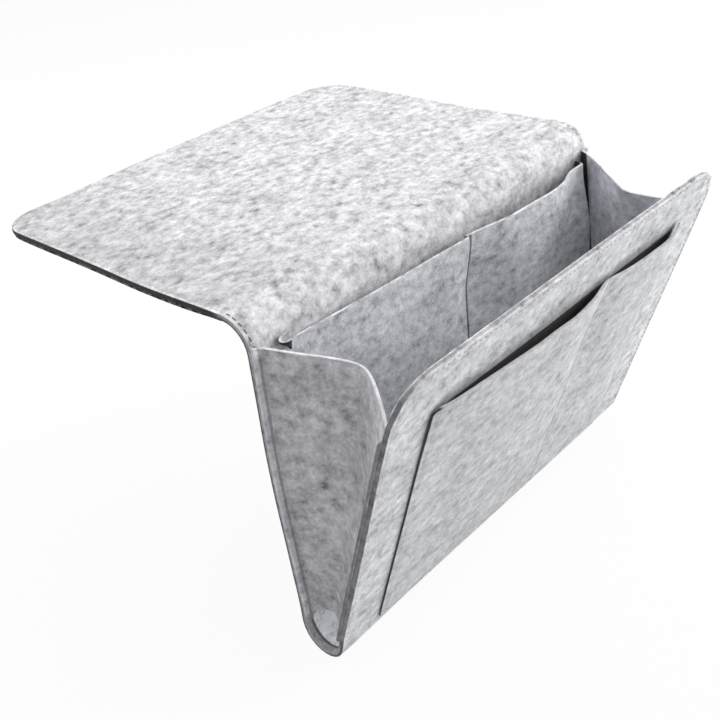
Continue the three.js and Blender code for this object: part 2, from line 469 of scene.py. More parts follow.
@dataclass(frozen=True)
class FeltFinish:
    """Needle-punched felt of mixed light and dark fibres.

    Attributes:
        name: Name of the material.
        shade: Mean grey, linear.
        contrast: Scale of all the differences from the mean.
        tint: Red and blue against green.
        solid: True where the grain reads places in space instead of the flat cut.
        seed: Shift between felts that would otherwise have equal grain.
        hem_highlight: Painted highlight: how much lighter the flap is outside its edge seams.
        side_shade: Painted shade of a cut edge that faces along X, outer half; None for a face.
        inner_shade: The same on its inner half.
        flap_shade: The same along the flap.
        front_shade: The same along the front.
        core_shade: Painted shade over the middle of a cut edge that faces another way.
        half: Half the felt's thickness, which sets where an edge's painted shade lies.
        shaded_hollow: Length range, half width and face (1 upper, -1 lower) in painted shade.
        under_shade: Painted shade of a cut edge where it faces down, or None.
        rear_gap: True for the gusset by the inner pocket's box-like end: painted shade in the gap.
        fold: Length range of the bottom fold: painted light inside, painted shade towards its ends.
        lines: Lines of painted shade along the felt: place across, half width and share of grey
            left.
        left_shade_share: Share of the grey left near the flap's left edge, as painted shade.
        behind: Contrast, share of the grey, and red and blue against green on the back, if they
            differ from those of the front.
    """

    name: str
    shade: float
    contrast: float = 0.7
    tint: tuple[float, float] = (1.010, 1.040)
    solid: bool = False
    seed: float = 0.0
    hem_highlight: float = 0.0
    side_shade: float | None = None
    inner_shade: float = 0.0
    flap_shade: float = 0.0
    front_shade: float = 0.0
    core_shade: float = 0.0
    half: float = 0.00175
    shaded_hollow: tuple[float, float, float, float] | None = None
    under_shade: float | None = None
    rear_gap: bool = False
    fold: tuple[float, float] | None = None
    lines: tuple[Floats, ...] = ()
    left_shade_share: float = 1.0
    behind: tuple[float, float, float, float] | None = None

    def grain(self, g: Graph) -> tuple[Socket, Socket]:
        """Grey differences of the mixed fibres, and the relief that goes with them."""
        if self.solid:
            place = g.node("ShaderNodeTexCoord").outputs["Object"]
        else:
            place = g.node("ShaderNodeUVMap", uv_map=UV_NAME).outputs[0]
        total = 0.0
        made = []
        for size, turn, shift, weight in GRAIN_LAYERS:
            scale = tuple(1 / length for length in size)
            layer = g.noise(g.stretch(place, scale, turn, self.seed + shift), 0.62)
            total = g.math("MULTIPLY_ADD", layer, weight, total)
            made.append(layer)
        flecks = g.math("MINIMUM", g.math("ADD", made[1], 0.07), 0.0)
        total = g.math("MULTIPLY_ADD", flecks, 0.9, total)
        return total, g.math("ADD", made[1], made[2])

    def level(self, g: Graph) -> Value:
        """Mean grey at a place, with painted light and shade: of a cut edge, or of a face."""
        place, along = g.map_parts(UV_NAME)[:2]
        height = g.map_parts(EDGE_UV)[0]
        if self.side_shade is not None:
            return self.side_level(g, along, height)
        # Painted shade where a cut edge faces down.
        if self.under_shade is not None:
            down = g.ramp(g.facing()[2], 0.10, -0.40)
            return g.mix(down, self.shade, self.under_shade)
        return self.face_level(g, place, along, height)

    def on_flap(self, g: Graph, along: Value) -> Socket:
        """1 on the flap, 0 past the start of the bend."""
        return g.ramp(along, STRIP.bend_start + 0.005, STRIP.bend_start - 0.009)

    def side_level(self, g: Graph, along: Value, height: Value) -> Socket:
        """Grey of a cut edge, with painted shade by the way it faces and by its height."""
        middle = 0.30 * self.half
        outline = g.ramp(g.math("ABSOLUTE", height), middle, 0.80 * self.half)
        inner = g.ramp(height, -middle, middle)
        side = g.mix(inner, self.side_shade, self.inner_shade or self.side_shade)
        turned = g.sideways()
        if self.flap_shade:
            front = g.ramp(along, STRIP.front_start - 0.004, STRIP.front_start + 0.010)
            side = g.mix(self.on_flap(g, along), side, self.flap_shade)
            side = g.mix(front, side, self.front_shade)
            turned = g.mix(front, turned, g.sideways(0.50, 0.90))
        core = g.mix(outline, self.core_shade or self.shade, self.shade)
        return g.mix(turned, core, side)

    def face_level(self, g: Graph, place: Value, along: Value, height: Value) -> Value:
        """Grey of a face, with the finish's painted light and shade in gap, fold, lines, hem and
        hollow.
        """
        across = g.math("ABSOLUTE", place)
        upper = g.ramp(height, 0.0, FACE_RISE)
        level = self.shade
        # Painted shade in the gap at the right gusset's rear.
        if self.rear_gap:
            level = g.mix(g.product(self.gap_share(g, place, along), upper), level, PAINTED_SHADE_GREY)
        # Painted light inside the bottom fold, which the cable holes show.
        if self.fold:
            low, high = self.fold
            inside = g.product(g.ramp(along, low - 0.004, low + 0.004),
                               g.ramp(along, high + 0.006, high - 0.004), upper)
            level = g.mix(inside, level, self.fold_level(g, across))
        # Lines of painted shade by seams, steps and gaps.
        for middle, reach, left in self.lines:
            share = g.mix(g.line(place, middle, reach, 0.4 * reach), 1.0, left)
            level = g.product(level, share)
        # Painted highlight on the flap outside its edge seams.
        if self.hem_highlight:
            flap = self.on_flap(g, along)
            edge = STRIP.half_width
            hem_highlight = g.product(g.ramp(across, edge - 0.0028, edge - 0.0020), flap)
            level = g.mix(hem_highlight, level, (1.0 + self.hem_highlight) * self.shade)
            # Painted shade towards the flap's left edge.
            left = g.product(g.ramp(place, -0.060, -0.150), flap)
            level = g.product(level, g.mix(left, 1.0, self.left_shade_share))
        # Painted shade over the part of a face that lies in a pocket's hollow.
        if self.shaded_hollow:
            low, high, reach, side = self.shaded_hollow
            inside = g.product(
                g.ramp(along, high + 0.0006, high - 0.0012), g.ramp(along, low, low + 0.002),
                g.ramp(across, reach, reach - 0.003),
                g.ramp(g.product(height, side), 0.0, FACE_RISE))
            level = g.mix(inside, level, PAINTED_SHADE_GREY)
        return level

    def gap_share(self, g: Graph, place: Value, along: Value) -> Socket:
        """1 in the gap of painted shade at a gusset wall's rear: its edge runs forward on the way
        down.
        """
        edge, slope, length = -0.0380, 0.195, 0.085
        down = g.math("MINIMUM", g.math("SUBTRACT", WALL_HEIGHT, along), length)
        return g.ramp(g.math("MULTIPLY_ADD", down, -slope, place), edge, edge - 0.0015)

    def fold_level(self, g: Graph, across: Value) -> Socket:
        """Painted light inside the bottom fold, with painted shade along and past the gusset's
        seam.
        """
        seam = 0.1548
        beside = g.ramp(across, seam - 0.0013, seam + 0.0002)
        lit = g.mix(beside, 1.65 * self.shade, 0.75 * self.shade)
        return g.mix(g.line(across, seam, 0.0014, 0.0004), lit, 0.25 * self.shade)

    def material(self) -> Material:
        """Builds the felt material."""
        g = Graph(bpy.data.materials.new(self.name))
        total, relief = self.grain(g)
        looks = [self.contrast, 1.0, *self.tint]
        if self.behind and self.fold:
            front = g.ramp(g.map_parts(UV_NAME)[1], self.fold[0] - 0.030, self.fold[0] + 0.010)
            looks = [g.mix(front, *pair) for pair in zip(self.behind, looks)]
        contrast, gain, red_share, blue_share = looks
        scaled = g.math("MAXIMUM", g.math("MULTIPLY_ADD", total, contrast, 1.0), 0.15)
        grey = g.product(scaled, gain, self.level(g))
        colour = (g.product(grey, red_share), grey, g.product(grey, blue_share))
        return g.surface(colour, relief, 0.5, 0.0006, {
            "Roughness": 0.95, "Specular IOR Level": 0.12, "Sheen Weight": 0.12,
            "Sheen Roughness": 0.6})


@dataclass(frozen=True)
class PlainFinish:
    """One colour with a fine uneven grain.

    Attributes:
        name: Name of the material.
        grey: Linear grey.
        side_grey: Grey of the spots on an edge that faces along X.
        left_grey: Grey along the left margin, or 0.
        roughness: Roughness of the surface.
        grain: Size of the grain.
        depth: Height of the grain's relief.
    """

    name: str
    grey: float
    side_grey: float = 0.0
    left_grey: float = 0.0
    roughness: float = 0.85
    grain: float = 0.0012
    depth: float = 0.0002

    def material(self) -> Material:
        """Builds the material."""
        g = Graph(bpy.data.materials.new(self.name))
        place = g.node("ShaderNodeTexCoord").outputs["Object"]
        fine = g.noise(g.stretch(place, (1 / self.grain,) * 3), 0.6)
        grey = g.math("MULTIPLY_ADD", fine, 0.9 * self.grey, self.grey)
        if self.left_grey:
            left = g.ramp(g.parts(place)[0], -0.128, -0.140)
            grey = g.mix(left, grey, self.left_grey)
        if self.side_grey:
            spots = g.noise(g.stretch(place, (160.0,) * 3, 0.0, 5.0), 0.6)
            spots = g.product(g.ramp(spots, -0.06, 0.05), g.sideways())
            grey = g.mix(spots, grey, self.side_grey)
        return g.surface((grey, grey, grey), fine, 0.4, self.depth, {
            "Roughness": self.roughness, "Specular IOR Level": 0.2})


def finished(finish: FeltFinish | PlainFinish) -> Material:
    """Dataclass field that holds the finish's material."""
    return field(default_factory=finish.material)


@dataclass
class Finishes:
    """The caddy's materials, each made once."""

    # Painted highlight outside the flap's edge seams, and painted shade towards its left edge.
    main: Material = finished(
        FeltFinish("main_felt", 0.560, 1.1, hem_highlight=0.14, left_shade_share=0.86))
    # Painted shade in the outer pocket's hollow and on a line by the right edge; painted light in
    # the fold.
    front: Material = finished(
        FeltFinish("front_felt", 0.600, 0.95, (0.980, 1.032), shaded_hollow=(0.520, 0.692, 0.1262, -1.0),
                   fold=(STRIP.fold_start, STRIP.front_start), lines=((0.1592, 0.0010, 0.45),),
                   behind=(1.1, 0.560 / 0.600, 1.010, 1.040)))
    # The strip's cut edges: lighter than its faces as painted highlight, with painted shade by
    # facing, near-black on the flap.
    main_edge: Material = finished(
        FeltFinish("main_felt_edge", 0.64, 1.1, solid=True, side_shade=0.10, inner_shade=0.36,
                   flap_shade=0.03, front_shade=0.20, core_shade=0.36))
    # Painted shade in its hollow and along the divider, its right seam and its right edge.
    pocket: Material = finished(
        FeltFinish("pocket_felt", 0.550, 0.8, (0.980, 1.028), seed=21.0,
                   shaded_hollow=(0.0, 0.1915, 0.2, -1.0),
                   lines=((0.0362, 0.0012, 0.82), (0.1240, 0.0010, 0.76), (0.1268, 0.0010, 0.55))))
    # A lighter copy of the pocket felt as painted light, with painted shade in its hollow and two
    # lines.
    inner_pocket: Material = finished(
        FeltFinish("inner_pocket_felt", 0.590, 0.95, (0.978, 1.047), seed=21.0,
                   shaded_hollow=(0.0, 0.1905, 0.2, -1.0),
                   lines=((0.0162, 0.0019, 0.25), (0.1450, 0.0055, 0.12))))
    # The pockets' cut edges: near-black where they face along X as painted shade; the outer one
    # darker all over.
    pocket_edge: Material = finished(
        FeltFinish("pocket_felt_edge", 0.44, solid=True, side_shade=0.05, half=0.001))
    inner_edge: Material = finished(
        FeltFinish("inner_pocket_edge", 0.60, 1.2, solid=True, side_shade=0.05, half=0.001))
    # The curl: a darker copy of the pocket felt, with painted shade over one face.
    curl: Material = finished(
        FeltFinish("curl_felt", 0.40, 0.6, seed=21.0, shaded_hollow=(-0.01, 1.0, 1.0, 1.0)))
    gusset: Material = finished(
        FeltFinish("gusset_felt", 0.50, 0.95, (1.008, 1.063), solid=True, seed=43.0))
    # A lighter copy of the gusset felt as painted light inside the bag, with painted shade at its
    # rear.
    right_gusset: Material = finished(
        FeltFinish("right_gusset_felt", 0.54, 0.8, (0.990, 1.080), solid=True, seed=43.0,
                   rear_gap=True))
    # Gusset cut edges: lighter than the felt as painted highlight, near-black facing down as
    # painted shade.
    gusset_edge: Material = finished(
        FeltFinish("gusset_felt_edge", 0.72, 0.6, solid=True, under_shade=0.05))
    flange: Material = finished(
        FeltFinish("gusset_flange_felt", 0.60, 0.8, (1.008, 1.063), solid=True, seed=43.0,
                   lines=((-0.0009, 0.0016, 0.62),)))
    # The front flanges' edges, painted dark as shade.
    flange_edge: Material = finished(
        FeltFinish("gusset_flange_edge", 0.20, 0.9, solid=True, seed=43.0))
    grip: Material = finished(PlainFinish("grip", 0.018, 0.20))
    # One thread sews the bag: these four greys are lit and shaded copies of it, painted light and
    # shade.
    thread: Material = finished(PlainFinish("thread", 0.17, grain=0.0004))
    grey_thread: Material = finished(PlainFinish("grey_thread", 0.32, grain=0.0004))
    front_thread: Material = finished(
        PlainFinish("front_thread", 0.32, left_grey=0.60, grain=0.0004))
    pale_thread: Material = finished(PlainFinish("pale_thread", 0.52, grain=0.0004))


def linked(name: str, data: bpy.types.ID) -> Object:
    """New object with that data, in the scene."""
    made = bpy.data.objects.new(name, data)
    bpy.context.scene.collection.objects.link(made)
    return made


@dataclass
class Shell:
    """Closed mesh that is gathered from patches with shared corners.

    Attributes:
        rows: Parameters of the corners, as (across, along, height) rows.
        faces: Faces as corner numbers.
        slots: Material number of each face.
        flats: True for each face that is shaded flat.
        count: Number of corners so far.
    """

    rows: list[Array] = field(default_factory=list)
    faces: list[list[int]] = field(default_factory=list)
    slots: list[int] = field(default_factory=list)
    flats: list[bool] = field(default_factory=list)
    count: int = 0

    def corners(self, across: Array, along: Array, height: Array) -> Array:
        """Adds corners and returns their numbers, in the arrays' shape."""
        across, along, height = np.broadcast_arrays(across, along, height)
        self.rows.append(np.stack([across.ravel(), along.ravel(), height.ravel()], axis=1))
        numbers = np.arange(self.count, self.count + across.size).reshape(across.shape)
        self.count += across.size
        return numbers

    def patch(self, numbers: Array, slot: Array | int = 0, flat: bool = False) -> None:
        """Adds the quads between the corners of a grid.

        Args:
            numbers: Corner numbers of the grid.
            slot: Material number, one for all or one for each row of quads.
            flat: True if the quads are shaded flat.
        """
        quads = np.stack([numbers[:-1, :-1], numbers[:-1, 1:], numbers[1:, 1:], numbers[1:, :-1]],
                         axis=-1)
        by_row = np.broadcast_to(np.reshape(slot, (-1, 1)), quads.shape[:2])
        self.faces.extend(quads.reshape(-1, 4).tolist())
        self.slots.extend(by_row.ravel().tolist())
        self.flats.extend([flat] * by_row.size)

    def polygon(self, numbers: Array, slot: int = 0) -> None:
        """Adds one flat face with many corners."""
        self.faces.append([int(number) for number in numbers])
        self.slots.append(slot)
        self.flats.append(True)

    def build(self, name: str, place: Place, materials: Sequence[Material]) -> Object:
        """Places the corners and makes the object.

        Args:
            name: Name of the object.
            place: Puts parameters in space.
            materials: Materials by number.

        Returns:
            The object, closed and with its faces out.
        """
        parameters = np.concatenate(self.rows)
        points = SETTLING.moved(place(*parameters.T))
        mesh = bpy.data.meshes.new(name)
        mesh.from_pydata(points.tolist(), [], self.faces)
        for material in materials:
            mesh.materials.append(material)
        mesh.polygons.foreach_set("material_index", np.array(self.slots, dtype=np.int32))
        mesh.polygons.foreach_set("use_smooth", ~np.array(self.flats, dtype=bool))
        corners = np.empty(len(mesh.loops), dtype=np.int32)
        mesh.loops.foreach_get("vertex_index", corners)
        for uv_map, columns in ((UV_NAME, [0, 1]), (EDGE_UV, [2, 1])):
            layer = mesh.uv_layers.new(name=uv_map)
            values = parameters[corners][:, columns].astype(np.float32)
            layer.data.foreach_set("uv", values.ravel())
        work = bmesh.new()
        work.from_mesh(mesh)
        bmesh.ops.recalc_face_normals(work, faces=work.faces)
        work.to_mesh(mesh)
        work.free()
        mesh.set_sharp_from_angle(angle=SHARP_ANGLE)
        return linked(name, mesh)


@dataclass(frozen=True)
class Rim:
    """Cut edge of a felt panel, from one face round to the other.

    Attributes:
        thickness: Thickness of the felt.
        inset: How far inside the outline the even grid ends.
        rounding: Radius of the edge's two arrises.
        stations: Distances from the outline at which the faces are cut, largest first.
        seam: Distance of the seam from the outline, or None.
        press: Depth of the groove that the seam presses.
        groove: Reach of the groove to each side.
        belly: How much further out the middle of the edge stands.
    """

    thickness: float
    inset: float
    rounding: float
    stations: Floats = ()
    seam: float | None = None
    press: float = 0.0
    groove: float = 0.0009
    belly: float = 0.00012

    def profile(self) -> tuple[Array, Array, Array]:
        """Outward run, height and material number of the edge's points, from face to face."""
        half = self.thickness / 2
        turn = np.linspace(0.0, math.pi / 2, 5)
        face = self.inset - np.array([self.inset, *self.stations])
        level = np.full(face.size, half)
        if self.seam is not None:
            level = level - dip(face - (self.inset - self.seam), self.press, self.groove)
        arris = self.inset - self.rounding + self.rounding * np.sin(turn)
        drop = half - self.rounding + self.rounding * np.cos(turn)
        run = np.concatenate([face, arris])
        height = np.concatenate([level, drop])
        slots = np.concatenate([np.zeros(face.size + 1, int), np.ones(turn.size - 1, int)])
        return (
            np.concatenate([run, [self.inset + self.belly], run[::-1]]),
            np.concatenate([height, [0.0], -height[::-1]]),
            np.concatenate([slots, slots[::-1]]),
        )


@dataclass(frozen=True)
class Cut:
    """Flat cut of a felt panel: an oblong whose ends have round corners or butt on.

    Attributes:
        half_width: Half its width.
        start: Where it starts along its length.
        end: Where it ends.
        start_corner: Radius of the corners at its start, or 0 where it butts on.
        end_corner: Radius of the corners at its end, or 0 where it butts on.
        step: Usual length of a grid cell.
        fine_across: Places across the width near which the grid is finer.
        fine_along: Places along the length near which the grid is finer.
    """

    half_width: float
    start: float
    end: float
    start_corner: float = 0.0
    end_corner: float = 0.0
    step: float = 0.005
    fine_across: Floats = ()
    fine_along: Floats = ()

    def stops(self, low: float, high: float, fine: Sequence[float]) -> Array:
        """Grid places from low to high, closer together near the fine ones."""
        even = np.linspace(low, high, max(2, int(round((high - low) / self.step)) + 1))
        near = np.array([place + shift for place in fine for shift in FINE_SHIFTS])
        near = near[(near > low + 0.0003) & (near < high - 0.0003)]
        if near.size == 0:
            return even
        gap = np.abs(even[:, None] - near[None, :]).min(axis=1)
        keep = (gap > 0.0012) | (even == low) | (even == high)
        return np.unique(np.round(np.concatenate([even[keep], near]), 7))

    def rows(self, inset: float) -> tuple[Array, Array, Array, Array]:
        """Rows of the inner grid.

        Args:
            inset: How far inside the outline the grid ends.

        Returns:
            Along, half width, and the outward direction across and along at each row's end.
        """
        low, high = self.start + self.start_corner, self.end - self.end_corner
        inner = self.stops(low, high, self.fine_along)
        inner = inner[1 if self.start_corner else 0:-1 if self.end_corner else None]
        parts = [(inner, np.full(inner.size, self.half_width - inset),
                  np.ones(inner.size), np.zeros(inner.size))]
        if self.start_corner:
            parts.insert(0, self.corner(low, self.start_corner, inset, -1))
        if self.end_corner:
            parts.append(self.corner(high, self.end_corner, inset, 1))
        return tuple(np.concatenate(column) for column in zip(*parts))

    def corner(self, at: float, radius: float, inset: float, way: int) -> tuple[Array, ...]:
        """Rows round the corners at the start, where way is -1, or at the end, where it is 1."""
        turn = np.linspace(0.0, math.pi / 2, 9)[::-way]
        small = radius - inset
        return (at + way * small * np.cos(turn), self.half_width - radius + small * np.sin(turn),
                np.sin(turn), way * np.cos(turn))


def felt_panel(name: str, cut: Cut, rim: Rim, place: Place,
               materials: Sequence[Material]) -> Object:
    """Makes a closed felt panel: two even grids joined round the cut edge by the rim's profile.

    Args:
        name: Name of the object.
        cut: Flat cut of the panel.
        rim: Its edge.
        place: Puts (across, along, height) in space, height from the middle of the felt.
        materials: Face material and edge material.

    Returns:
        The panel.
    """
    along, half, out_across, out_along = cut.rows(rim.inset)
    inner_half = cut.half_width - rim.inset
    shares = cut.stops(-inner_half, inner_half, cut.fine_across) / inner_half
    grid_across = half[:, None] * shares[None, :]
    grid_along = np.broadcast_to(along[:, None], grid_across.shape)
    run, height, slots = rim.profile()
    shell = Shell()
    upper = shell.corners(grid_across, grid_along, height[0])
    lower = shell.corners(grid_across, grid_along, height[-1])
    shell.patch(upper)
    shell.patch(lower)
    last = along.size - 1
    bottom = [(0, column, 0.0, -1.0) for column in range(shares.size)]
    top = [(last, column, 0.0, 1.0) for column in range(shares.size)][::-1]
    right = [(row, -1, out_across[row], out_along[row]) for row in range(last + 1)]
    left = [(row, 0, -out_across[row], out_along[row]) for row in range(last + 1)][::-1]
    if cut.start_corner and cut.end_corner:
        loop = [*bottom, *right[1:], *top[1:], *left[1:]]
    elif cut.start_corner:
        loop = [*left, *bottom[1:], *right[1:]]
    else:
        loop = [*right, *top[1:], *left[1:]]
    at_row, at_column = np.array([entry[:2] for entry in loop]).T
    way = np.array([entry[2:] for entry in loop])
    base_across, base_along = grid_across[at_row, at_column], grid_along[at_row, at_column]
    rings = shell.corners(
        base_across + run[1:-1, None] * way[:, 0],
        base_along + run[1:-1, None] * way[:, 1],
        np.broadcast_to(height[1:-1, None], (run.size - 2, way.shape[0])),
    )
    rings = np.vstack([upper[at_row, at_column], rings, lower[at_row, at_column]])
    shell.patch(rings, slots)
    if not (cut.start_corner and cut.end_corner):
        end_row = last if cut.start_corner else 0
        shell.patch(np.stack([upper[end_row], lower[end_row]]), 1, flat=True)
        shell.polygon(rings[:, 0], 1)
        shell.polygon(rings[::-1, -1], 1)
    return shell.build(name, place, materials)


@dataclass(frozen=True)
class Stitch:
    """Lock stitches along a seam, each a short tube that dips into the felt at both ends.

    Attributes:
        pitch: Distance from one needle hole to the next.
        share: Share of the pitch that the visible thread covers.
        radius: Radius of the thread.
        crown: Height of the thread's middle line over the felt, at the stitch's middle.
        sink: Depth of its ends.
        rings: Number of rings of corners along a stitch.
        sides: Number of its sides.
    """

    pitch: float = 0.0043
    share: float = 0.8
    radius: float = 0.00036
    crown: float = 0.0001
    sink: float = 0.0005
    rings: int = 7
    sides: int = 6

    def row(self, shell: Shell, across: Sequence[float], along: Sequence[float], level: float,
            up: float) -> None:
        """Adds a row of stitches to a shell.

        Args:
            shell: The shell.
            across: Places across the panel of the seam's points.
            along: Places along the panel of the same points.
            level: Height of the felt's face.
            up: 1 for the upper face, -1 for the lower one.
        """
        length = run_length(across, along)
        count = max(1, int(length[-1] // self.pitch))
        spare = (length[-1] - count * self.pitch) / 2
        share = np.linspace(0.0, 1.0, self.rings)
        first = spare + self.pitch * (np.arange(count) + (1 - self.share) / 2)
        at = first[:, None] + self.pitch * self.share * share[None, :]
        middle_across = np.interp(at, length, across)
        middle_along = np.interp(at, length, along)
        near = 0.0002
        ahead, behind = at + near, at - near
        way_across = np.interp(ahead, length, across) - np.interp(behind, length, across)
        way_along = np.interp(ahead, length, along) - np.interp(behind, length, along)
        size = np.hypot(way_across, way_along) + 1e-12
        way_across, way_along = way_across / size, way_along / size
        arch = 1.0 - np.abs(2 * share - 1) ** 3
        lift = -self.sink + (self.sink + self.crown) * arch
        turn = np.linspace(0.0, 2 * math.pi, self.sides + 1)[:-1]
        sideways = self.radius * np.cos(turn)
        upwards = self.radius * np.sin(turn)
        rings = shell.corners(
            middle_across[..., None] - way_along[..., None] * sideways,
            middle_along[..., None] + way_across[..., None] * sideways,
            level + up * (lift[None, :, None] + upwards),
        )
        for stitch in rings:
            closed = np.concatenate([stitch, stitch[:, :1]], axis=1)
            shell.patch(closed)
            shell.polygon(stitch[0])
            shell.polygon(stitch[-1][::-1])


def dress(piece: Object, slot: str, nodes: Sequence[str], *bodies: Body,
          ends: Sequence[Point] = ()) -> Object:
    """Lets a piece ride on a body, or bakes its place in, and hides the CAD nodes it replaces.

    Args:
        piece: The piece.
        slot: Name of its slot; not used.
        nodes: CAD nodes that it replaces.
        *bodies: The body that it rides on; where there are ends, two bodies that go unused.
        ends: Ends of a blend that is not made; where there are any, the piece's place is baked in.

    Returns:
        The piece.
    """
    names = [body.value for body in bodies]
    if ends:
        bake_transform(piece)
    else:
        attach(piece, *names)
    if nodes:
        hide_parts(*nodes)
    return piece


def sew(name: str, node: str, rows: Sequence[tuple], place: Place, material: Material,
        *bodies: Body, ends: Sequence[Point] = ()) -> Object:
    """Makes one piece of thread from rows of stitches, and dresses it.

    Args:
        name: Name of the piece.
        node: CAD node that it replaces.
        rows: For each row, its points across and along, the felt's level there and its side.
        place: Puts the rows in space.
        material: Material of the thread.
        *bodies: As for dress.
        ends: As for dress.

    Returns:
        The piece.
    """
    shell, stitch = Shell(), Stitch()
    for row in rows:
        stitch.row(shell, *row)
    return dress(shell.build(name, place, [material]), "thread", [node], *bodies, ends=ends)


@dataclass
class Part:
    """Sub-assembly of the caddy.

    Attributes:
        path: The strip's path.
        finishes: The caddy's materials.
    """

    path: StripPath
    finishes: Finishes


@dataclass
class MainFelt(Part):
    """The long felt strip, in two pieces that meet flush behind the inner pocket.

    Attributes:
        flap_corner: Radius of the flap's corners.
        front_corner: Radius of the front's corners.
        seam_inset: Distance of the edge seam from the edge.
        press: Depth of the groove that the edge seam presses.
        cut_height: Z at which the two pieces meet.
    """

    flap_corner: float = 0.028
    front_corner: float = 0.030
    seam_inset: float = 0.003
    press: float = 0.00012
    cut_height: float = -0.110

    @property
    def cut_at(self) -> float:
        """Where the two pieces meet along the strip."""
        return self.path.back_start + self.path.bend_centre[1] - self.cut_height

    def rim(self) -> Rim:
        """Edge of the strip, with its seam."""
        stations = (0.0065, 0.0050, 0.0042, 0.0038, 0.0034, 0.0030, 0.0026, 0.0022, 0.0018, 0.0012)
        return Rim(self.path.thickness, 0.008, 0.0005, stations, self.seam_inset, self.press)

    def edge_seam(self, start: float, end: float, corner: float) -> tuple[Array, Array]:
        """Seam round a free end of the strip.

        Args:
            start: Where the seam starts along the strip.
            end: Along the strip, where the free end is.
            corner: Radius of the outline's corners.

        Returns:
            Places across and along.
        """
        way = math.copysign(1.0, end - start)
        half, small = self.path.half_width - self.seam_inset, corner - self.seam_inset
        turn = np.linspace(0.0, math.pi / 2, 13)
        side_across = np.concatenate([[half], half - small + small * np.cos(turn)])
        tip = end - way * corner
        side_along = np.concatenate([[start], tip + way * small * np.sin(turn)])
        return (np.concatenate([-side_across, side_across[::-1]]),
                np.concatenate([side_along, side_along[::-1]]))

    def build(self) -> dict[str, Object]:
        """Makes the two felt pieces and their threads."""
        path, finishes = self.path, self.finishes
        upper = felt_panel(
            "main_felt_upper",
            Cut(path.half_width, 0.0, self.cut_at, start_corner=self.flap_corner, step=0.004),
            self.rim(), path.place, [finishes.main, finishes.main_edge])
        lower = felt_panel(
            "main_felt_lower",
            Cut(path.half_width, self.cut_at, path.end, end_corner=self.front_corner, step=0.004),
            self.rim(), path.place, [finishes.front, finishes.main_edge])
        fold_y, fold_z = path.fold_centre
        bend_y, bend_z = path.bend_centre
        bend_ends = ((0, bend_y, path.flap_level), (0, bend_y - path.bend_radius, bend_z))
        fold_ends = ((0, fold_y + path.fold_radius, fold_z),
                     (0, fold_y - path.fold_radius * math.cos(path.lean),
                      fold_z - path.fold_radius * math.sin(path.lean)))
        dress(upper, "main_felt", ("flap_panel", "flap_bend", "back_panel"), Body.FLAP, Body.BACK,
              ends=bend_ends)
        dress(lower, "main_felt", ("bottom_fold", "front_panel"), Body.BACK, Body.FRONT,
              ends=fold_ends)
        return {"upper": upper, "lower": lower, **self.threads(bend_ends)}

    def threads(self, bend_ends: Sequence[Point]) -> dict[str, Object]:
        """Makes the stitches along the strip's edges, those of the bend dressed with the bend's
        ends.
        """
        path, finishes = self.path, self.finishes
        level = path.thickness / 2 - self.press
        sunk = level - 0.00015
        seam = self.edge_seam(path.bend_start, 0.0, self.flap_corner)
        made = {"flap_thread": sew("flap_edge_stitches", "flap_edge_thread", [(*seam, sunk, 1.0)],
                                   path.place, finishes.pale_thread, Body.FLAP)}
        along = (path.bend_start, path.back_start - 0.0065)
        # The left bend's stitches take the dark thread as painted shade, the right's the pale one.
        for side in Side:
            across = (side.value * (path.half_width - self.seam_inset),) * 2
            made[f"bend_thread_{side.word}"] = sew(
                f"bend_stitches_{side.word}", f"bend_edge_thread_{side.word}",
                [(across, along, level, 1.0)], path.place,
                finishes.thread if side is Side.LEFT else finishes.pale_thread,
                Body.FLAP, Body.BACK, ends=bend_ends)
        seam = self.edge_seam(path.front_start + 0.004, path.end, self.front_corner)
        made["front_thread"] = sew(
            "front_edge_stitches", "front_edge_thread",
            [(*seam, up * sunk, up) for up in (1.0, -1.0)], path.place, finishes.front_thread,
            Body.FRONT)
        return made


@dataclass
class GripLiner(Part):
    """Dark backing under the flap.

    Attributes:
        thickness: Its thickness.
        corner: Radius of its corners at the flap's free end.
        margin: How far inside the felt's edges it ends.
    """

    thickness: float = 0.0019
    corner: float = 0.0275
    margin: float = 0.0005

    @property
    def size(self) -> tuple[float, float]:
        """Width and length of its cut."""
        return 2 * (self.path.half_width - self.margin), self.path.flap_length - self.margin

    def place(self, across: Array, along: Array, height: Array) -> Array:
        """Points of the liner: its upper face lies on the felt, and it thins at both ends."""
        length = self.path.flap_length
        thin = 1.0 - 0.7 * smoothstep(along, length - 0.030, length)
        thin *= 1.0 - 0.45 * smoothstep(-along, -0.060, 0.0)
        z = self.thickness - (self.thickness / 2 - height) * thin
        return np.stack([across, self.path.flap_end - along, z], axis=1)

    def build(self) -> Object:
        """Makes the liner."""
        cut = Cut(self.size[0] / 2, self.margin, self.path.flap_length, self.corner, 0.0015,
                  step=0.010)
        rim = Rim(self.thickness, 0.0010, 0.0004)
        liner = felt_panel("grip_sheet", cut, rim, self.place, [self.finishes.grip] * 2)
        return dress(liner, "grip", ["grip_liner"], Body.FLAP)


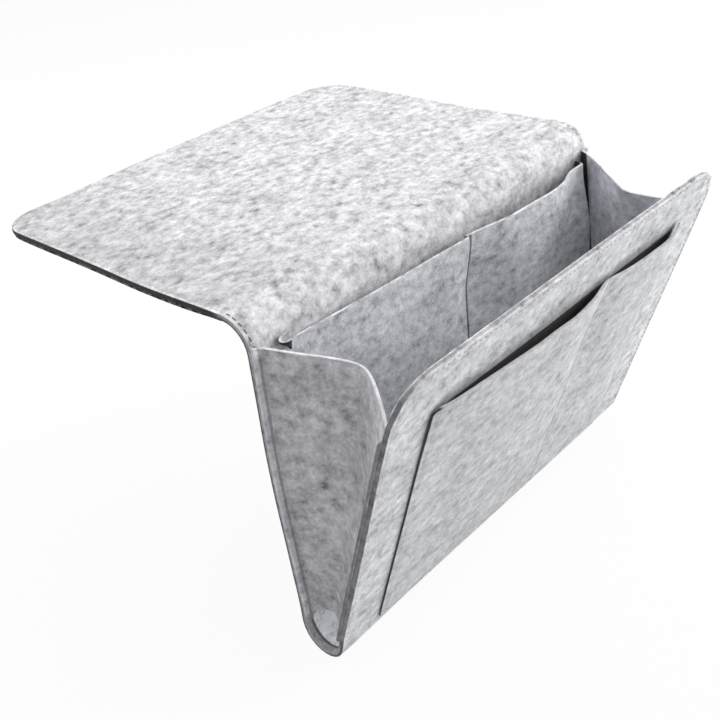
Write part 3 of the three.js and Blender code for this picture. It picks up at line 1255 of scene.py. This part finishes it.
@dataclass(frozen=True)
class PocketForm:
    """Form of a panel with two pockets.

    Attributes:
        half_width: Half its width.
        height: Its height.
        divider: X of the seam between the two pockets.
        bulges: How far each pocket stands out at the mouth, left and right.
        peaks: Where across each pocket it stands out most, as a share.
        mouth: How far the inner face stands out at the mouth, by X.
        mouth_reach: How far down the traced mouth fades into the pockets' own form.
        left_drop: How much lower the mouth's left corner is.
        box_height: How far the inner pocket's right end stands out like the side of a box, or 0.
        box_flare: How much further it stands out below the mouth.
        box_push: How far it is pushed outwards.
        step: How far the left pocket's edge stands proud at the divider.
        land: Width of the flat strip that is sewn down.
        seam_inset: Distance of the seams from the ends and the foot.
    """

    half_width: float
    height: float
    divider: float
    bulges: tuple[float, float]
    peaks: tuple[float, float]
    mouth: Traced
    mouth_reach: float
    left_drop: float = 0.0
    box_height: float = 0.0
    box_flare: float = 0.0050
    box_push: float = 0.0090
    step: float = 0.0
    land: float = 0.006
    seam_inset: float = 0.003

    @property
    def size(self) -> tuple[float, float]:
        """Width and height of the panel."""
        return 2 * self.half_width, self.height

    def swell(self, across: Array) -> Array:
        """How far the pockets stand out at the mouth: none at the seams, skewed in between."""
        total = np.zeros_like(across)
        spans = ((self.land - self.half_width, self.divider - self.land / 2),
                 (self.divider + self.land / 2, self.half_width - self.land))
        for (low, high), bulge, peak in zip(spans, self.bulges, self.peaks):
            share = np.clip((across - low) / (high - low), 0.0, 1.0)
            skew = math.log(0.5) / math.log(peak)
            total += bulge * (1.0 - np.abs(2.0 * share ** skew - 1.0) ** 3)
        return total

    def stand_off(self, across: Array, rise: Array) -> Array:
        """Distance of the panel's inner face from the face that it is sewn on.

        Args:
            across: X.
            rise: Height over the panel's foot.

        Returns:
            The distance.
        """
        share = np.clip((rise - self.land) / (self.height - self.land), 0.0, 1.0)
        low = self.swell(across) * share ** 0.8
        fade = smoothstep(rise, self.height - self.mouth_reach, self.height)
        stand = low * (1.0 - fade) + self.mouth.at(across) * fade
        proud = smoothstep(across, self.divider - 0.040, self.divider - 0.002)
        proud *= 1.0 - smoothstep(across, self.divider + 0.0002, self.divider + 0.0010)
        stand = stand + self.step * proud * smoothstep(rise, 0.0, 0.060)
        near_end = smoothstep(across, self.half_width - 0.033, self.half_width - 0.016)
        flat = self.box(rise) * (1.0 - smoothstep(across, self.half_width - 0.009, self.half_width))
        return np.where(self.box_height > 0, stand * (1.0 - near_end) + flat * near_end, stand)

    def box(self, rise: Array) -> Array:
        """How far the box-like right end stands out."""
        lower = self.box_flare * smoothstep(self.height - rise, 0.0, 0.050)
        return (self.box_height + lower) * smoothstep(rise, 0.004, 0.110)

    def shifted(self, across: Array, rise: Array) -> Array:
        """Places across, with the felt of the box-like end pushed outwards before it turns in."""
        if not self.box_height:
            return across
        share = self.box(rise) / (self.box_height + self.box_flare)
        from_end = self.half_width - across
        near = smoothstep(-from_end, -0.030, -0.0095) * smoothstep(from_end, -0.001, 0.010)
        return across + self.box_push * share * near

    def press(self, across: Array, rise: Array) -> Array:
        """Depth of the grooves that the seams press into the outer face."""
        end = self.half_width - self.seam_inset
        depth = np.zeros_like(across)
        for seam in (-end, self.divider, end):
            depth = np.maximum(depth, dip(across - seam, 0.0002, 0.0012))
        return np.maximum(depth, dip(rise - self.seam_inset, 0.0003, 0.0010))

    def cut(self) -> Cut:
        """Flat cut of the panel."""
        end = self.half_width - self.seam_inset
        return Cut(self.half_width, 0.0, self.height, 0.0016, 0.0018, step=0.004,
                   fine_across=(-end, self.divider, self.divider + 0.0010, end,
                                *(self.half_width - 0.001 * count for count in (5, 7, 9, 11))),
                   fine_along=(self.seam_inset, self.height - 0.002))


@dataclass
class Pocket:
    """A pocket panel, sewn on a face of the strip.

    Attributes:
        name: Name of the CAD node that it stands for, without the last word.
        form: Its form.
        carrier: Puts (across, rise, out) on the face that carries it.
        body: The body that it rides on.
        felt: Material of its faces.
        edge: Material of its cut edge.
        thread: Material of its stitches.
        thickness: Thickness of its felt.
    """

    name: str
    form: PocketForm
    carrier: Place
    body: Body
    felt: Material
    edge: Material
    thread: Material
    thickness: float = 0.002

    def place(self, across: Array, rise: Array, height: Array) -> Array:
        """Points of the panel, its height measured out from the middle of its felt."""
        form = self.form
        thin = 1.0 - 0.35 * smoothstep(np.abs(across), form.half_width - 0.006, form.half_width)
        out = form.stand_off(across, rise) + (self.thickness / 2 + height) * thin
        out = out - np.where(height > 0.0, form.press(across, rise), 0.0)
        drop = form.left_drop * smoothstep(-across, form.half_width - 0.006, form.half_width)
        drop *= smoothstep(rise, form.height - 0.030, form.height)
        return self.carrier(form.shifted(across, rise), rise - drop, out)

    def build(self) -> tuple[Object, Object]:
        """Makes the panel and its stitches."""
        form, name = self.form, self.name
        panel = felt_panel(name, form.cut(), Rim(self.thickness, 0.0012, 0.0005), self.place,
                           [self.felt, self.edge])
        dress(panel, "pocket_felt", [f"{name}_panel"], self.body)
        level = self.thickness / 2
        end = form.half_width - form.seam_inset
        rise = (form.seam_inset, form.height - 0.002)
        rows = [((seam, seam), rise, level - 0.0004, 1.0)
                for seam in (-end, form.divider + 0.4 * form.step, end)]
        rows.append(((-end, end), (form.seam_inset,) * 2, level, 1.0))
        return panel, sew(f"{name}_stitches", f"{name}_thread", rows, self.place, self.thread,
                          self.body)


@dataclass
class PocketCurl(Part):
    """Curled corner of felt at the left end of the inner pocket's mouth.

    Attributes:
        places: X of the traced points of the curl, seen from above.
        offsets: Distance of those points from the back.
        top: Z of its upper edge.
        height: Its height.
        thickness: Thickness of its felt.
        foot_share: Share of its spread that is left at its foot, where it tapers into the seam.
    """

    places: Floats = (
        -0.1352, -0.1378, -0.1408, -0.1430, -0.1438, -0.1428, -0.1404, -0.1385)
    offsets: Floats = (0.0010, 0.0010, 0.0014, 0.0028, 0.0046, 0.0062, 0.0070, 0.0066)
    top: float = -0.0105
    height: float = 0.0104
    thickness: float = 0.0014
    foot_share: float = 0.15

    @property
    def length(self) -> float:
        """Length of the curl's middle line."""
        return float(run_length(self.places, self.offsets)[-1])

    def middle(self, across: Array) -> tuple[Array, Array]:
        """X and distance from the back along the curl, by the length from its middle."""
        run = run_length(self.places, self.offsets) - self.length / 2
        return Traced(run, self.places).at(across), Traced(run, self.offsets).at(across)

    def place(self, across: Array, along: Array, height: Array) -> Array:
        """Points of the curl."""
        x, off = self.middle(across)
        near = 0.0003
        ahead, behind = self.middle(across + near), self.middle(across - near)
        way_x, way_off = ahead[0] - behind[0], ahead[1] - behind[1]
        size = np.hypot(way_x, way_off) + 1e-9
        spread = self.foot_share + (1.0 - self.foot_share) * smoothstep(along, 0.0, self.height)
        x = self.places[0] + (x - self.places[0]) * spread
        off = self.offsets[0] + (off - self.offsets[0]) * spread
        y = self.path.back_face - off - height * way_x / size
        z = self.top - self.height + along - 0.25 * off
        return np.stack([x - height * way_off / size, y, z], axis=1)

    def build(self) -> Object:
        """Makes the curl."""
        cut = Cut(self.length / 2, 0.0, self.height, 0.0008, 0.0008, step=0.0012)
        curl = felt_panel("inner_pocket_curl", cut, Rim(self.thickness, 0.0007, 0.0003), self.place,
                          [self.finishes.curl, self.finishes.inner_edge])
        return dress(curl, "pocket_felt", ["inner_pocket_panel"], Body.BACK)


@dataclass
class Gusset(Part):
    """Folded side of the bag: two flanges sewn to the strip, and walls with an inward crease.

    Attributes:
        side: The side of the bag.
        thickness: Thickness of its felt.
        flange: Width of its flanges.
        flange_turn: Width of a flange's part that turns into the wall.
        flange_lift: How far the back flange's top stands off the back.
        crease_top: Depth of the crease at the top.
        crease_foot: Depth of the crease at the foot.
        top: Height of the walls' top over the fold's centre, by depth share.
        flange_top: Height of the back flange's outer corner.
        round_share: Softness of the crease.
        crease_power: Power of the depth share that puts the crease a little nearer the front.
        hole_radius: Radius of the cable hole.
        hole_drop: How far the hole's centre is under the foot.
        hole_shift: How far the hole's centre is towards the back from the fold's centre.
        seam_inset: Distance of a flange's seam from its outer edge.
        gap: Gap to the front.
        blend_half: Half of the way between the two ends that the walls are dressed with.
    """

    side: Side
    thickness: float = 0.002
    flange: float = 0.005
    flange_turn: float = 0.0012
    flange_lift: float = 0.0005
    crease_top: float = 0.024
    crease_foot: float = 0.004
    top: Traced = Traced(
        (0.0, 0.06, 0.115, 0.25, 0.4, 0.5, 0.55, 0.6, 0.75, 0.9, 1.0),
        (0.2022, 0.2016, 0.2010, 0.1989, 0.1962, 0.1940, 0.1925, 0.1908, 0.1868, 0.1832, 0.1795))
    flange_top: float = 0.2046
    round_share: float = 0.16
    crease_power: float = 1.16
    hole_radius: float = 0.0115
    hole_drop: float = 0.002
    hole_shift: float = 0.0020
    seam_inset: float = 0.003
    gap: float = 0.0003
    blend_half: Point = (0.0, -0.0423, -0.0071)

    @property
    def back_top(self) -> float:
        """Height of the walls' top at the back."""
        return float(self.top.at(0.0))

    @property
    def front_top(self) -> float:
        """Height of the walls' top at the front."""
        return float(self.top.at(1.0))

    @property
    def flange_width(self) -> float:
        """Width of a flange with the part of it that turns into the wall."""
        return self.flange + self.flange_turn

    def bag_depth(self, height: Array) -> Array:
        """Depth of the bag at a height over the fold's centre."""
        inner = self.path.fold_radius - self.path.thickness / 2
        return inner + (inner + height * math.sin(self.path.lean)) / math.cos(self.path.lean)

    def crease_share(self, depth: Array) -> Array:
        """How far in the crease stands: two straight walls with a soft fold between them."""
        soft = self.round_share if self.side is Side.LEFT else 0.3 * self.round_share
        reach = math.hypot(1.0, soft) - soft
        warped = np.clip(depth, 0.0, 1.0) ** self.crease_power
        return 1.0 - (np.hypot(2.0 * warped - 1.0, soft) - soft) / reach

    def middle(self, depth: Array, height: Array) -> Array:
        """Middle surface of the walls, by depth share and height over the fold's centre."""
        share = height / self.top.at(depth)
        crease = self.crease_foot + (self.crease_top - self.crease_foot) * share
        inward = self.flange + self.thickness / 2 + crease * self.crease_share(depth)
        span = self.bag_depth(height) - self.gap - self.thickness
        y = self.path.back_face - self.thickness / 2 - span * depth
        z = self.path.fold_centre[1] + height
        return np.stack([self.side.value * (self.path.half_width - inward), y, z], axis=1)

    def foot(self, depth: Array) -> Array:
        """Height of the walls' foot, which the round cable hole cuts away."""
        centre = self.path.fold_centre[0] + self.hole_shift
        height = np.zeros_like(depth)
        for _ in range(6):
            away = self.middle(depth, height)[:, 1] - centre
            arc = np.sqrt(np.clip(self.hole_radius ** 2 - away ** 2, 0.0, None))
            height = np.maximum(arc - self.hole_drop, 0.0)
        return height

    def wall_place(self, across: Array, along: Array, height: Array) -> Array:
        """Points of the walls.

        Args:
            across: Depth from the middle of the bag, as if it were WALL_DEPTH deep.
            along: Rise over the foot, as if it were WALL_HEIGHT high.
            height: Height over the middle surface, towards the inside of the bag.

        Returns:
            Points in space.
        """
        depth = np.clip(across / WALL_DEPTH + 0.5, 0.0, 1.0)
        foot, top = self.foot(depth), self.top.at(depth)
        level = foot + (top - foot) * along / WALL_HEIGHT
        here = self.middle(depth, level)
        small = 1e-4
        low, high = np.clip(depth - small, 0, 1), np.clip(depth + small, 0, 1)
        over = self.middle(high, level) - self.middle(low, level)
        up = self.middle(depth, level + small) - self.middle(depth, level - small)
        normal = np.cross(over, up)
        normal /= np.linalg.norm(normal, axis=1, keepdims=True)
        normal *= np.where(normal[:, :1] * self.side.value > 0, -1.0, 1.0)
        return here + normal * height[:, None]

    def back_flange_place(self, across: Array, along: Array, height: Array) -> Array:
        """Points of the flange on the back."""
        x = self.side.value * (self.path.half_width - self.flange / 2 + across)
        top = self.back_top
        lift = self.flange_lift * smoothstep(along, top - 0.018, top - 0.010)
        y = self.path.back_face - self.thickness / 2 - height - lift
        inward = np.clip(0.5 - across / self.flange, 0.0, 1.0)
        slope = (self.flange_top - top) * (inward if self.side is Side.LEFT else 1.0)
        slope = slope * smoothstep(along, top - 0.020, top)
        return np.stack([x, y, self.path.fold_centre[1] + along - slope], axis=1)

    def front_flange_place(self, across: Array, along: Array, height: Array) -> Array:
        """Points of the flange on the front."""
        x = self.side.value * (self.path.half_width - self.flange / 2 + across)
        depth = self.bag_depth(along) - self.gap - self.thickness / 2 - height
        return np.stack([x, self.path.back_face - depth, self.path.fold_centre[1] + along], axis=1)

    def cut_size(self) -> Floats:
        """Size of the gusset's flat cut, measured on the walls' middle surface.

        Returns:
            Width at the top with both flanges, length, and area.
        """
        share = np.linspace(0.0, 1.0, 61)
        across, along = np.meshgrid(WALL_DEPTH * (share - 0.5), WALL_HEIGHT * share)
        points = self.wall_place(across.ravel(), along.ravel(), np.zeros(across.size))
        points = points.reshape(*across.shape, 3)
        over, up = np.diff(points, axis=1), np.diff(points, axis=0)
        walls = float(np.linalg.norm(np.cross(over[:-1], up[:, :-1]), axis=2).sum())
        width = float(np.linalg.norm(over[-1], axis=1).sum()) + 2 * self.flange_width
        flanges = self.flange_width * (self.flange_top + self.front_top)
        return width, self.flange_top, walls + flanges

    def build(self) -> list[Object]:
        """Makes the walls, both flanges and their stitches."""
        finishes, node = self.finishes, f"gusset_{self.side.word}"
        felt = finishes.gusset if self.side is Side.LEFT else finishes.right_gusset
        rim, width = Rim(self.thickness, 0.0012, 0.0006), self.flange_width / 2
        walls = felt_panel(
            f"{node}_walls", Cut(WALL_DEPTH / 2, 0.0, WALL_HEIGHT, 0.0014, 0.0014, step=0.0028),
            rim, self.wall_place, [felt, finishes.gusset_edge])
        back = felt_panel(
            f"{node}_back_flange", Cut(width, 0.0, self.flange_top, 0.0010, 0.0010),
            rim, self.back_flange_place, [finishes.flange] * 2)
        front = felt_panel(
            f"{node}_front_flange", Cut(width, 0.0, self.front_top - 0.0035, 0.0014, 0.0014),
            rim, self.front_flange_place, [felt, finishes.flange_edge])
        centre, half = np.array([0.0, *self.path.fold_centre]), np.array(self.blend_half)
        dress(walls, "gusset_felt", [node], Body.BACK, Body.FRONT,
              ends=(tuple(centre - half), tuple(centre + half)))
        dress(back, "gusset_felt", (), Body.BACK)
        dress(front, "gusset_felt", (), Body.FRONT)
        return [walls, back, front, *self.threads()]

    def threads(self) -> list[Object]:
        """Makes the stitches through both flanges, which show on the back's outside too."""
        word, level = self.side.word, self.thickness / 2
        seam = (self.flange / 2 - self.seam_inset,) * 2
        outside = -(self.path.thickness + level)
        back, front = (0.006, self.back_top - 0.0065), (0.0115, self.front_top - 0.003)
        ways = {
            Body.BACK: (self.back_flange_place,
                        [(seam, back, level, 1.0), (seam, back, outside, -1.0)]),
            Body.FRONT: (self.front_flange_place, [(seam, front, level, 1.0)]),
        }
        return [sew(f"gusset_{word}_{body.value}_stitches", f"gusset_thread_{body.value}_{word}",
                    rows, place, self.finishes.grey_thread, body)
                for body, (place, rows) in ways.items()]


@dataclass(frozen=True)
class Studio:
    """Camera, floor and light.

    Attributes:
        floor_level: Z of the floor.
        floor_reach: Half the length of its sides.
        floor_grey: Its grey.
        floor_white: Share of pure white in it, as the camera sees it.
        lens: Focal length in millimetres, for a sensor 36 millimetres wide.
        eye: Place of the camera.
        right: Where the picture's right is.
        down: Where the picture's foot is.
        ahead: Where the camera looks.
        fill: Strength of the even light from all round.
        aim: What the lights point at.
        lights: Name, place, length of the side and power in watts of each soft light.
    """

    floor_level: float = -0.2332
    floor_reach: float = 6.0
    floor_grey: float = 0.82
    floor_white: float = 0.93
    lens: float = 51.072
    eye: Point = (-0.44115, -0.50820, 0.26364)
    right: Point = (0.67022911, -0.73440189, -0.10698973)
    down: Point = (-0.4537264, -0.29139199, -0.84215383)
    ahead: Point = (0.58730341, 0.61298008, -0.52851691)
    fill: float = 0.52
    aim: Point = (0.0, -0.05, -0.05)
    lights: tuple[tuple[str, Point, float, float], ...] = (
        ("over", (0.55, -0.55, 1.55), 1.1, 7.0),
        ("behind", (0.0, 1.0, 1.1), 1.1, 12.5),
        ("right", (1.35, -1.0, 0.7), 1.2, 26.0),
    )

    def camera(self) -> None:
        """Adds the camera, aimed as in the photograph."""
        data = bpy.data.cameras.new("camera")
        data.lens, data.sensor_width = self.lens, 36.0
        data.clip_start, data.clip_end = 0.01, 50.0
        made = linked("camera", data)
        turn = Matrix((self.right, -Vector(self.down), -Vector(self.ahead))).transposed()
        made.matrix_world = Matrix.Translation(self.eye) @ turn.to_4x4()
        bpy.context.scene.camera = made

    def light(self, name: str, place: Sequence[float], size: float, power: float) -> None:
        """Adds a square soft light."""
        data = bpy.data.lights.new(name, "AREA")
        data.shape, data.size, data.energy = "SQUARE", size, power
        made = linked(name, data)
        made.location = place
        way = Vector(self.aim) - made.location
        made.rotation_euler = way.to_track_quat("-Z", "Y").to_euler()

    def world(self) -> None:
        """Sets the world: white to the camera and a soft fill to everything else."""
        g = Graph(bpy.data.worlds.new("studio"))
        seen = g.node("ShaderNodeLightPath").outputs["Is Camera Ray"]
        fill, white = (
            g.node("ShaderNodeBackground", {0: (1.0, 1.0, 1.0, 1.0), 1: strength}).outputs[0]
            for strength in (self.fill, 1.0))
        mixed = g.node("ShaderNodeMixShader", {0: seen, 1: fill, 2: white}).outputs[0]
        g.node("ShaderNodeOutputWorld", {0: mixed})
        bpy.context.scene.world = g.owner

    def floor(self) -> None:
        """Adds the floor: mostly white, and a little matt so that it keeps a faint shadow."""
        mesh = bpy.data.meshes.new("floor")
        corners = [(self.floor_reach * x, self.floor_reach * y, self.floor_level)
                   for x, y in ((-1, -1), (1, -1), (1, 1), (-1, 1))]
        mesh.from_pydata(corners, [], [(0, 1, 2, 3)])
        g = Graph(bpy.data.materials.new("floor"))
        colour = (*(self.floor_grey,) * 3, 1.0)
        matt = g.node("ShaderNodeBsdfDiffuse", {"Color": colour}).outputs[0]
        white = g.node("ShaderNodeEmission", {"Color": (1, 1, 1, 1), "Strength": 1.0}).outputs[0]
        seen = g.node("ShaderNodeLightPath").outputs["Is Camera Ray"]
        share = g.math("MULTIPLY", seen, self.floor_white)
        mesh.materials.append(g.finish(
            g.node("ShaderNodeMixShader", {0: share, 1: matt, 2: white}).outputs[0]))
        linked("floor", mesh)

    def build(self) -> None:
        """Adds everything round the object."""
        self.world()
        self.floor()
        for light in self.lights:
            self.light(*light)
        self.camera()
        bpy.context.scene.view_settings.view_transform = "Standard"


@dataclass
class Caddy:
    """The whole caddy.

    Attributes:
        path: The strip's path.
        finishes: Its materials.
        inner_foot: Height of the inner pocket's foot over the fold's centre.
        outer_foot: X of the outer pocket's middle, rise of its foot and its gap to the front.
    """

    path: StripPath = STRIP
    finishes: Finishes = field(default_factory=Finishes)
    inner_foot: float = 0.006
    outer_foot: Point = (0.0006, 0.003, 0.0002)

    def inner_carrier(self, across: Array, rise: Array, out: Array) -> Array:
        """Points by their rise over the inner pocket's foot and their distance from the back."""
        z = self.path.fold_centre[1] + self.inner_foot + rise
        return np.stack([across, self.path.back_face - out, z], axis=1)

    def outer_carrier(self, across: Array, rise: Array, out: Array) -> Array:
        """Points by their rise over the outer pocket's foot and their distance from the front."""
        middle, foot, gap = self.outer_foot
        return self.path.front_place(across + middle, foot + rise, out + gap)

    def inner_pocket(self) -> Pocket:
        """The pocket panel inside the bag, with its traced mouth."""
        mouth = Traced(
            (-0.148, -0.142, -0.1334, -0.1138, -0.0706, -0.0267, 0.0059, 0.0147, 0.0200, 0.0356,
             0.0462, 0.0845, 0.0960, 0.1118, 0.1303, 0.1387, 0.1480),
            (0.0, 0.0, 0.0004, 0.0018, 0.0051, 0.0072, 0.0056, 0.0057, 0.0072, 0.0096, 0.0132,
             0.0147, 0.0160, 0.0140, 0.0100, 0.0088, 0.0080))
        form = PocketForm(0.148, 0.191, 0.0125, (0.0075, 0.0155), (0.7, 0.6), mouth, 0.045,
                          box_height=0.0070, step=0.0030)
        return Pocket("inner_pocket", form, self.inner_carrier, Body.BACK,
                      self.finishes.inner_pocket, self.finishes.inner_edge, self.finishes.thread)

    def outer_pocket(self) -> Pocket:
        """The pocket panel outside on the front, with its traced mouth."""
        mouth = Traced(
            (-0.128, -0.1159, -0.0586, -0.0418, -0.0252, -0.0080, 0.0036, 0.0191, 0.0331, 0.0360,
             0.0420, 0.0600, 0.0804, 0.1042, 0.1200, 0.1279),
            (0.0, 0.0030, 0.0067, 0.0077, 0.0076, 0.0086, 0.0076, 0.0060, 0.0022, 0.0010, 0.0030,
             0.0052, 0.0060, 0.0062, 0.0034, 0.0))
        form = PocketForm(0.1272, 0.192, 0.036, (0.007, 0.0062), (0.68, 0.62), mouth, 0.050,
                          left_drop=0.0028)
        return Pocket("outer_pocket", form, self.outer_carrier, Body.FRONT, self.finishes.pocket,
                      self.finishes.pocket_edge, self.finishes.pale_thread)

    def build(self) -> None:
        path, finishes = self.path, self.finishes
        strip, liner, curl = (kind(path, finishes) for kind in (MainFelt, GripLiner, PocketCurl))
        main, grip = strip.build(), liner.build()
        for pocket in (self.inner_pocket(), self.outer_pocket()):
            panel, thread = pocket.build()
        curl.build()
        for side in Side:
            gusset = Gusset(path, finishes, side)
            walls, *joined = gusset.build()
            *size, area = gusset.cut_size()


def main() -> None:
    """Builds the caddy and the studio."""
    logging.basicConfig(level=logging.INFO)
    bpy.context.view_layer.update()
    Caddy().build()
    Studio().build()
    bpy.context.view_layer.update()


if __name__ == "__main__":
    main()
